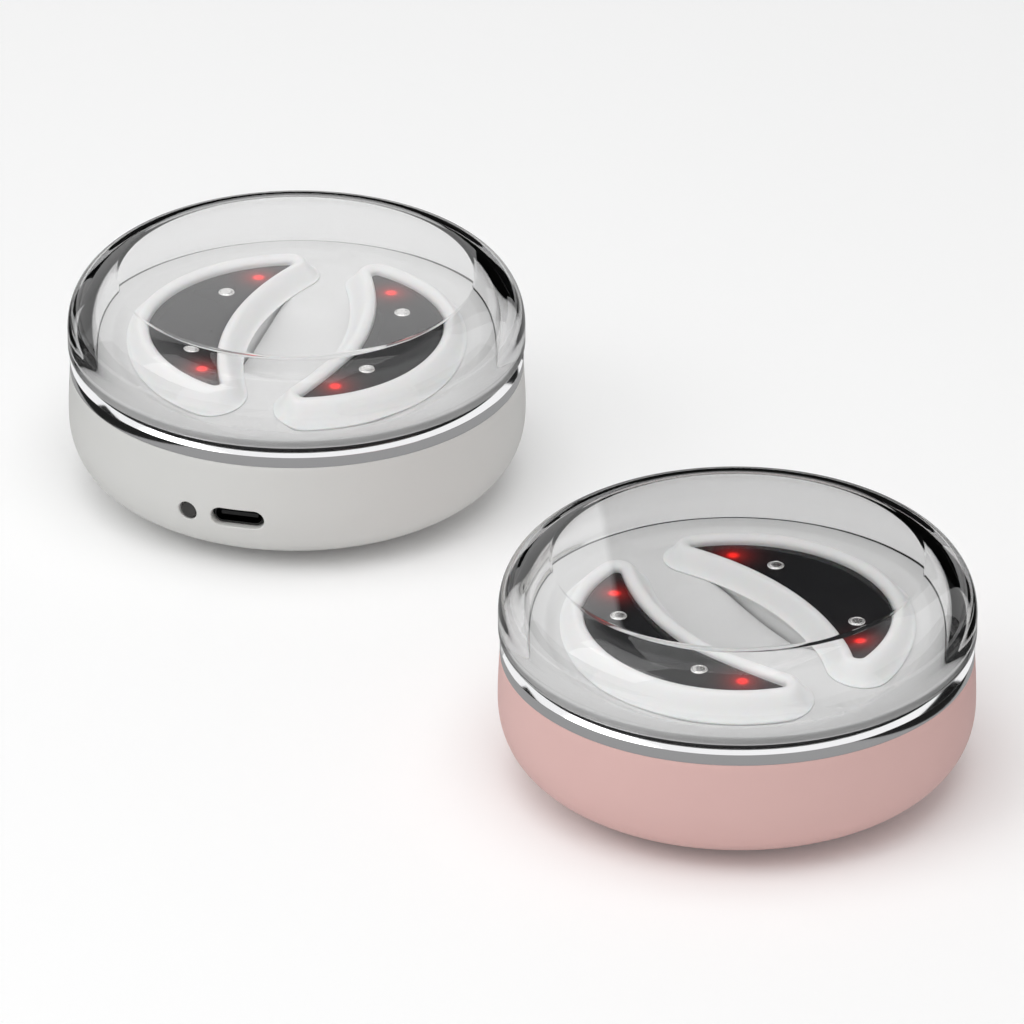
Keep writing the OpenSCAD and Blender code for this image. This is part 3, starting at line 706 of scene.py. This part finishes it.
def lid(case):
    """The clear lid: a shallow dome meets a big superellipse shoulder at a soft ridge. The cavity follows it
    inside with a tighter corner."""
    outer = shoulder_curve(SHOULDER_W, SHOULDER_H, LID_R, np.linspace(89.9, 0.5, 400))
    outer = outer[outer[:, 0] > RIDGE_R]
    ridge_z = outer[-1, 1]
    dome_r = RIDGE_R / math.sin(math.radians(DOME_SLOPE))
    dome_z = ridge_z - dome_r * math.cos(math.radians(DOME_SLOPE))
    roof_r = dome_r - ROOF
    corner_z = dome_z + math.sqrt(roof_r ** 2 - CAVITY_R ** 2)
    cavity_w = LID_BORE_R - (LID_R - SHOULDER_W)
    across = 1 - (LID_BORE_R - CAVITY_R) / cavity_w
    cavity_h = (corner_z - SHOULDER_Z) / (1 - across ** SHOULDER_POWER) ** (1 / SHOULDER_POWER)
    inner = shoulder_curve(cavity_w, cavity_h, LID_BORE_R, np.linspace(89.9, 0.5, 400))
    inner = inner[inner[:, 0] > CAVITY_R]

    def bend(before, corner, after, radius):
        return filleted([(*before, 0), (*corner, radius), (*after, 0)], 12)[1:-1]

    a = np.radians(np.linspace(0, DOME_SLOPE, 40))
    dome = np.stack([dome_r * np.sin(a), dome_z + dome_r * np.cos(a)], axis=1)
    a = np.linspace(0, math.asin(CAVITY_R / roof_r), 40)
    roof = np.stack([roof_r * np.sin(a), dome_z + roof_r * np.cos(a)], axis=1)
    ridge = bend(outer[-9], (RIDGE_R, ridge_z), dome[-3], RIDGE_ROUND)
    corner = bend(roof[-2], (CAVITY_R, corner_z), inner[-5], CAVITY_ROUND)
    c, s = arc(-90, 0, 10)
    foot_round = np.stack([LID_R - LID_FOOT_ROUND * (1 - c), LID_Z + LID_FOOT_ROUND * (1 + s)], axis=1)
    foot_in = filleted([
        (LID_BORE_R, SHOULDER_Z, 0), (LID_BORE_R, LID_Z, 0.15), (LID_R - LID_FOOT_ROUND, LID_Z, 0)], 5)
    profile = np.concatenate([
        roof[roof[:, 0] < corner[0, 0] - 0.05], corner, inner[inner[:, 1] < corner[-1, 1] - 0.05][::-3],
        foot_in[:-1], foot_round, outer[outer[:, 1] < ridge[0, 1] - 0.05][::3], ridge,
        dome[dome[:, 0] < ridge[-1, 0] - 0.05][::-1]])
    Shape().add(revolved(profile, 360), ring=True).piece(
        f"{case}_clear_lid", case, f"{case}_lid", LID, "clear_plastic", [f"{case}_lid"], sharp=75)


def soft_least(a, b, width):
    """The lesser of two heights, with the crease between them rounded over width."""
    h = np.clip(0.5 + 0.5 * (b - a) / width, 0, 1)
    return b * (1 - h) + a * h - width * h * (1 - h)


def tray_height(x, y):
    """The tray's top: a plate that rises to its rim, with a spherical finger bowl let into its middle."""
    r = np.hypot(x, y)
    t = np.clip((r - TRAY_RISE_R) / TRAY_RISE_W, 0, 1)
    plate = TRAY_Z + TRAY_RISE_H * t * t * (3 - 2 * t)
    bowl = BOWL_LOW_Z + BOWL_R - np.sqrt(np.clip(BOWL_R ** 2 - r ** 2, 0, None))
    return soft_least(plate, bowl, TRAY_BLEND)


def tray(case):
    """The tray: each half runs from a pocket's wall out to the rim or to the line between the halves, with a
    skin underneath. Every ray leaves the pocket along the outline's outward direction. Outside the rim a
    collar goes over a rounded edge and down to the shell."""
    point, out = crescent(*STEPS)
    shape = Shape()
    wall = NECK_D + POCKET_GAP
    skin = wall + POCKET_WALL
    floor_z = POD_Z - POCKET_FLOOR
    radial = np.sum(point * out, axis=1)
    to_rim = -radial + np.sqrt(radial ** 2 - np.sum(point ** 2, axis=1) + TRAY_EDGE_R ** 2)
    inward = out[:, 0] > 1e-6
    to_line = np.where(inward, -point[:, 0] / np.where(inward, out[:, 0], 1), np.inf)
    reach = np.minimum(to_rim, to_line)
    at_rim = to_rim <= to_line + 1e-6

    def rays(start, count):
        """Points along every ray from start to its end, closer together near the pocket."""
        weights = np.linspace(0, 1, count)[:, None] ** 1.4
        d = start + (reach - start) * weights
        return point + d[..., None] * out

    def height_at(xy):
        return tray_height(xy[..., 0], xy[..., 1])

    for sign in (1, -1):
        def turned(xy, z):
            return raised(sign * xy, z)

        top_xy = rays(wall + POCKET_ROUND, 26)
        top = turned(top_xy, height_at(top_xy))
        lip_xy = point + wall * out
        lip_z = height_at(lip_xy)
        rows = [turned(lip_xy, POD_Z)]
        for q in np.radians([90, 60, 30]):
            xy = lip_xy + POCKET_ROUND * (1 - math.sin(q)) * out
            rows.append(turned(xy, lip_z - POCKET_ROUND * (1 - math.cos(q))))
        shape.add(np.concatenate([rows, top]), ring=True)
        under_xy = rays(skin, 9)
        under = turned(under_xy, np.maximum(height_at(under_xy) - POCKET_WALL, floor_z))
        skirt = turned(under_xy[0], floor_z)
        shape.add(np.concatenate([[skirt], under]), ring=True)
        on = np.flatnonzero(at_rim)
        split = np.flatnonzero(np.diff(on) > 1)
        run = np.roll(on, -(split[0] + 1)) if len(split) else on
        spoke = top[-1, run, :2] / TRAY_EDGE_R
        high, low = top[-1, run[0], 2], under[-1, run[0], 2]
        collar = filleted([
            (TRAY_EDGE_R, high, 0), (COLLAR_R, high, COLLAR_ROUND), (COLLAR_R, SEAM_Z, 0),
            (TRAY_EDGE_R, SEAM_Z, 0), (TRAY_EDGE_R, low, 0)], 5)
        shape.add(raised(collar[:, 0][:, None, None] * spoke, collar[:, 1][:, None]))
        for d, z in ((wall, POD_Z), (skin, floor_z)):
            shape.add(crescent_fill(d, z) * [sign, sign, 1])
    shape.piece(f"{case}_dish", case, f"{case}_case", TRAY, "tray_plastic", [f"{case}_tray"], sharp=45)


BUTTON_SINK = 0.5
STEM_R = 1.0
STEM_END = 34.9
FLANGE_R = 2.1
FLANGE_IN = 36.7
FLANGE_OUT = 37.5


def side_button(case):
    """The push button: a cap with a dished face and a rounded edge, on a flange behind the wall. Its profile
    has radii and distances from the case's axis."""
    face = float(outer_side(BUTTON_Z)) - BUTTON_SINK
    profile = np.array([
        [0, STEM_END], [STEM_R - 0.15, STEM_END], [STEM_R, STEM_END + 0.15], [STEM_R, FLANGE_IN],
        [FLANGE_R, FLANGE_IN], [FLANGE_R, FLANGE_OUT], [BUTTON_R, FLANGE_OUT],
        [BUTTON_R, face - 0.22], [BUTTON_R - 0.06, face - 0.08], [BUTTON_R - 0.2, face],
        [BUTTON_R - 0.45, face - 0.02], [0.7, face - 0.08], [0, face - 0.10]])
    a = math.radians(PORT_AZIMUTH - BUTTON_ANGLE)
    u, v, depth = np.moveaxis(revolved(profile, 48), -1, 0)
    points = np.stack([
        depth * math.cos(a) - u * math.sin(a), depth * math.sin(a) + u * math.cos(a), BUTTON_Z + v], axis=-1)
    Shape().add(points, ring=True).piece(
        f"{case}_push_button", case, f"{case}_button", BUTTON, "button_plastic", [f"{case}_side_button"],
        sharp=40)


# Eye pods

def cushion(case, side, turn):
    """The soft rim: a window ledge, a tight inner edge, a round crown, and a long slope shaped like half a
    cosine wave that runs out to a thin flange on the tray, above the neck that drops into the pocket."""
    a = np.radians(np.linspace(0, 90, 10))
    inner = np.stack([CROWN_X * (1 - np.cos(a)), RIM_Z - CROWN_IN_H * (1 - np.sin(a))], axis=1)
    t = np.linspace(0, 1, 24)[1:]
    drop = RIM_Z - FLANGE_Z - FLANGE_T
    outer = np.stack([CROWN_X + (RIM_W - CROWN_X) * t, RIM_Z - drop * (1 - np.cos(math.pi * t)) / 2], axis=1)
    seat_z = WINDOW_Z - WINDOW_T
    ledge = np.array([[-LEDGE_W, seat_z - LEDGE_T], [-LEDGE_W, seat_z], [0, seat_z]])
    foot_edge = np.array([
        [RIM_W + 0.05, FLANGE_Z + FLANGE_T - 0.06], [RIM_W + 0.05, FLANGE_Z + 0.05], [RIM_W, FLANGE_Z],
        [NECK_D, FLANGE_Z], [NECK_D, SPLIT_Z + 0.15], [NECK_D - 0.15, SPLIT_Z], [0, SPLIT_Z]])
    profile = closed(np.concatenate([ledge, inner, outer, foot_edge]))
    Shape().add(swept(profile), ring=True).piece(
        f"{case}_{side}_soft_rim", case, f"{case}_{side}_pod", SILICONE, "cushion_silicone",
        [f"{case}_{side}_pod_cushion"], turn, sharp=55)


def window(case, side, turn):
    """The crescent window: a flat face with a fine rounded edge."""
    d, top, base = -GLASS_GAP, WINDOW_Z, WINDOW_Z - WINDOW_T
    edge = np.array([[d, base], [d, top - 0.12], [d - 0.035, top - 0.035], [d - 0.12, top]])
    shape = Shape().add(swept(edge, EVEN_STEPS), ring=True)
    shape.add(crescent_cap(d - 0.12, top)).add(crescent_cap(d, base))
    shape.piece(
        f"{case}_{side}_window", case, f"{case}_{side}_pod", WINDOW, "window_smoke",
        [f"{case}_{side}_pod_window"], turn, sharp=60, own=True)


def pod_back(case, side, turn):
    """The pod's hard back: a closed tub with a rounded sole edge."""
    lip, sole, inset_z = BACK_D - BACK_LIP, BACK_D - SOLE_EDGE, SPLIT_Z - BACK_RECESS
    profile = filleted([
        (lip, inset_z, 0), (lip, SPLIT_Z, 0), (BACK_D, SPLIT_Z, 0), (BACK_D, POD_Z, SOLE_ROUND),
        (sole, POD_Z, 0)], 6)
    shape = Shape().add(swept(profile, EVEN_STEPS), ring=True)
    shape.add(crescent_cap(sole, POD_Z)).add(crescent_cap(lip, inset_z))
    shape.piece(
        f"{case}_{side}_hard_back", case, f"{case}_{side}_pod", POD_PLASTIC, "pod_plastic",
        [f"{case}_{side}_pod_back"], turn, sharp=50)


def electrodes(case, side, turn):
    """Two discs: an almost flat crown inside a fine groove, and a rim with a rounded edge."""
    r = ELECTRODE_R
    crown = [[0, 0.26], [0.6, 0.25], [1.0, 0.225]]
    groove = [[1.06, 0.20], [1.09, 0.14], [1.14, 0.19]]
    edge = [[1.22, 0.22], [r - 0.12, 0.20], [r - 0.03, 0.12], [r, 0.04], [r, 0], [0, 0]]
    profile = np.array(crown + groove + edge) + [0, WINDOW_Z]
    shape = Shape()
    for sign in (-1, 1):
        a = math.radians(180 + sign * ELECTRODE_AT[1])
        at = [ELECTRODE_AT[0] * math.cos(a), ELECTRODE_AT[0] * math.sin(a), 0]
        shape.add(revolved(profile, 48) + at, ring=True)
    shape.piece(
        f"{case}_{side}_discs", case, f"{case}_{side}_pod", ELECTRODE, "electrode_metal",
        [f"{case}_{side}_pod_electrodes"], turn, sharp=50)


PAINTS = {"white": WHITE_PAINT, "pink": PINK_PAINT}
KEPT = {
    "main_board": BOARD, "battery": FOIL, "usb_socket": SHADED_SOCKET, "board_screws": STEEL, "charge_studs": GOLD,
    "tray_magnets": NICKEL}
KEPT_IN_POD = {"leds": LAMP, "board": BOARD, "battery": FOIL, "pads": GOLD}

for case, paint in PAINTS.items():
    shell(case, paint)
    foot(case)
    chrome_ring(case)
    gasket(case)
    lid(case)
    tray(case)
    side_button(case)
    for side, turn in SIDES.items():
        cushion(case, side, turn)
        window(case, side, turn)
        pod_back(case, side, turn)
        electrodes(case, side, turn)
        for part, material in KEPT_IN_POD.items():
            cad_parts[f"{case}_{side}_pod_{part}"].data.materials[0] = material
    for part, material in KEPT.items():
        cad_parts[f"{case}_{part}"].data.materials[0] = material


# Floor, light and camera, in metres

FLOOR_REACH = 6.0
FLOOR_LIFT = 0.06

CAMERA_AZIMUTH = 54.3
CAMERA_ELEVATION = 28.0
CAMERA_DISTANCE = 2.02
PIXELS_PER_METRE = 5800.0
SENSOR = 36.0
IMAGE = 1024
TARGET = (0.0, 0.0, 0.020)

# Cards: away counts from the middle of the set, level and along the view.
CARD_NEAR = 0.10
CARD_EDGE = 0.25
CARD_FAR = 0.50
CARD_DEPTH = 0.25
CARD_TOP = 0.28
CARD_LIFT = 0.0008
CARD_FADE = 0.003
GREY_GLOW = 0.32
BACK_AWAY = 0.45
BACK_LOW = 0.10
BACK_HIGH = 0.60
BACK_HALF = 0.45
BACK_GLOW = 1.0
NEAR_AWAY = 0.150
NEAR_OUTLINE = [(-0.026, 0.050), (0.012, 0.060), (0.012, 0.094), (-0.005, 0.116), (-0.026, 0.133)]
WALLS_PASSED = 2.5  # surfaces of clear plastic that light may pass before a shy card lets it by

PATCH_ELEVATION = 72.0
PATCH_HEART = math.cos(math.radians(26))
PATCH_EDGE = math.cos(math.radians(34))
PATCH_TONE = 0.12
WORLD_LIGHT = 0.42


def stage_face(name, corners, material):
    """A flat piece of the set from its corners, in metres."""
    mesh = bpy.data.meshes.new(name)
    mesh.from_pydata(corners, [], [tuple(range(len(corners)))])
    mesh.materials.append(material)
    obj = linked(name, mesh)
    return obj


def pale_floor():
    """Pale matt floor, lifted a little where it is seen so that it meets the white behind it."""
    f = Finish("pale_floor")
    lift = f.mix(f.seen(), (0, 0, 0, 1), (FLOOR_LIFT, FLOOR_LIFT, FLOOR_LIFT, 1))
    return f.done(f.surface(
        Base_Color=(0.95, 0.95, 0.95, 1), Roughness=0.6, Specular_IOR_Level=0.2, Emission_Color=lift,
        Emission_Strength=1.0))


stage_face("floor", [
    (-FLOOR_REACH, -FLOOR_REACH, 0), (FLOOR_REACH, -FLOOR_REACH, 0), (FLOOR_REACH, FLOOR_REACH, 0),
    (-FLOOR_REACH, FLOOR_REACH, 0)], pale_floor())


def from_target(azimuth, elevation, distance):
    """Point at a distance from the target, seen from an azimuth and an elevation as the views count them."""
    a, e = math.radians(azimuth), math.radians(elevation)
    level = distance * math.cos(e)
    x, y, z = TARGET
    return x + level * math.sin(a), y - level * math.cos(a), z + distance * math.sin(e)


def aimed(obj):
    """Turns a camera or lamp towards the target."""
    away = mathutils.Vector(TARGET) - obj.location
    obj.rotation_mode = "QUATERNION"
    obj.rotation_quaternion = away.to_track_quat("-Z", "Y")


camera = linked("camera", bpy.data.cameras.new("camera"))
camera.data.sensor_width = SENSOR
camera.data.lens = PIXELS_PER_METRE * CAMERA_DISTANCE / IMAGE * SENSOR
camera.data.clip_end = 50
camera.location = from_target(CAMERA_AZIMUTH, CAMERA_ELEVATION, CAMERA_DISTANCE)
aimed(camera)
bpy.context.scene.camera = camera


def softbox(name, azimuth, elevation, distance, width, height, power):
    """A rectangular lamp aimed at the object."""
    lamp = bpy.data.lights.new(name, "AREA")
    lamp.shape = "RECTANGLE"
    lamp.size = width
    lamp.size_y = height
    lamp.energy = power
    obj = linked(name, lamp)
    obj.location = from_target(azimuth, elevation, distance)
    aimed(obj)
    return obj


top_light = softbox("top_light", azimuth=40, elevation=80, distance=1.2, width=1.2, height=1.2, power=8.5)
top_light.visible_glossy = False
softbox("left_light", azimuth=-15, elevation=40, distance=1.3, width=0.9, height=0.6, power=3.0)


def view_frame():
    """Level directions to the right of the view and away from the camera, as unit vectors."""
    a = math.radians(CAMERA_AZIMUTH)
    return np.array([math.cos(a), math.sin(a), 0.0]), np.array([-math.sin(a), math.cos(a), 0.0])


def card_material(name, glow=0.0, edge=None, shy=False):
    """Matt black card that may give an even light of its own, which fades out over a few millimetres before
    edge. A shy card darkens the rims of the clear plastic, but lets light past that has already gone through
    two walls of it."""
    f = Finish(name)
    if edge is None:
        shine = (glow, glow, glow, 1)
    else:
        across = f.node("ShaderNodeVectorMath", {"operation": "DOT_PRODUCT"}, [
            f.place(), view_frame()[0]], out="Value")
        level = ((edge - across) / CARD_FADE).clamped() * glow
        shine = f.node("ShaderNodeCombineXYZ", None, [level, level, level])
    face = f.surface(
        Base_Color=(0.01, 0.01, 0.01, 1), Roughness=0.9, Specular_IOR_Level=0.1, Emission_Color=shine,
        Emission_Strength=1.0)
    if shy:
        passed = f.ray("Transmission Depth").math("GREATER_THAN", WALLS_PASSED)
        face = f.node("ShaderNodeMixShader", None, [passed, face, f.node("ShaderNodeBsdfTransparent")])
    return f.done(face)


def card(name, material, outline, through=True):
    """A card beside, behind or under the set, seen only in gloss and, where through is true, through the
    clear plastic. Its outline has points (right of the view, away from the camera, up)."""
    right, away = view_frame()
    points = np.array(outline, float)
    points = points[:, :1] * right + points[:, 1:2] * away + points[:, 2:] * [0, 0, 1]
    obj = stage_face(name, points.tolist(), material)
    obj.visible_camera = False
    obj.visible_diffuse = False
    obj.visible_shadow = False
    obj.visible_transmission = through


def box_card(name, material, right, away, up, through=True):
    """A card with four corners, from its spans to the right, away and up. It lies flat where up is the same
    value twice, and else it stands upright."""
    if up[0] == up[1]:
        corners = [(0, 0, 0), (1, 0, 0), (1, 1, 0), (0, 1, 0)]
    else:
        corners = [(0, 0, 0), (1, 1, 0), (1, 1, 1), (0, 0, 1)]
    card(name, material, [(right[i], away[j], up[k]) for i, j, k in corners], through)


BLACK_CARD = card_material("black_card")
SHY_CARD = card_material("shy_black_card", shy=True)
DEPTHS = (-CARD_DEPTH, CARD_DEPTH)
ON_FLOOR = (CARD_LIFT, CARD_LIFT)
BACK = (BACK_AWAY, BACK_AWAY)
BACK_HEIGHTS = (BACK_LOW, BACK_HIGH)
for side, sign in (("left", -1), ("right", 1)):
    near, edge, far = sign * CARD_NEAR, sign * CARD_EDGE, sign * CARD_FAR
    box_card(f"upright_{side}", BLACK_CARD, (far, far), DEPTHS, (0.0, CARD_TOP), through=False)
    box_card(f"flat_{side}", SHY_CARD, (near, edge), DEPTHS, ON_FLOOR)
box_card("back_glow", card_material("glow_card", BACK_GLOW, edge=0.0), (-BACK_HALF, 0.0), BACK, BACK_HEIGHTS)
box_card("back_black", BLACK_CARD, (0.0, BACK_HALF), BACK, BACK_HEIGHTS)
box_card("low_black", SHY_CARD, DEPTHS, BACK, (0.0, BACK_LOW))
box_card("grey_floor", card_material("grey_card", GREY_GLOW), (-CARD_NEAR, CARD_NEAR), DEPTHS, ON_FLOOR,
         through=False)
card("near_glow", card_material("near_glow_card", BACK_GLOW), [(x, NEAR_AWAY, z) for x, z in NEAR_OUTLINE])


def studio_world():
    """White all round for the camera, gloss and glass, with a dark patch overhead that leans away from the
    camera; a plain even light for everything else."""
    f = Finish("studio", world=True)
    ahead, e = math.radians(CAMERA_AZIMUTH), math.radians(PATCH_ELEVATION)
    axis = (-math.sin(ahead) * math.cos(e), math.cos(ahead) * math.cos(e), math.sin(e))
    facing = f.node("ShaderNodeVectorMath", {"operation": "DOT_PRODUCT"}, [
        f.node("ShaderNodeTexCoord", out="Generated"), axis], out="Value")
    patch = ((facing - PATCH_EDGE) / (PATCH_HEART - PATCH_EDGE)).clamped()
    white = f.node("ShaderNodeBackground", None, {
        "Color": f.mix(patch, (1, 1, 1, 1), (PATCH_TONE, PATCH_TONE, PATCH_TONE, 1)), "Strength": 1.0})
    even = f.node("ShaderNodeBackground", None, {"Color": (1, 1, 1, 1), "Strength": WORLD_LIGHT})
    return f.done(f.node("ShaderNodeMixShader", None, [f.seen(), even, white]))


bpy.context.scene.world = studio_world()
bpy.context.scene.view_settings.view_transform = "Standard"
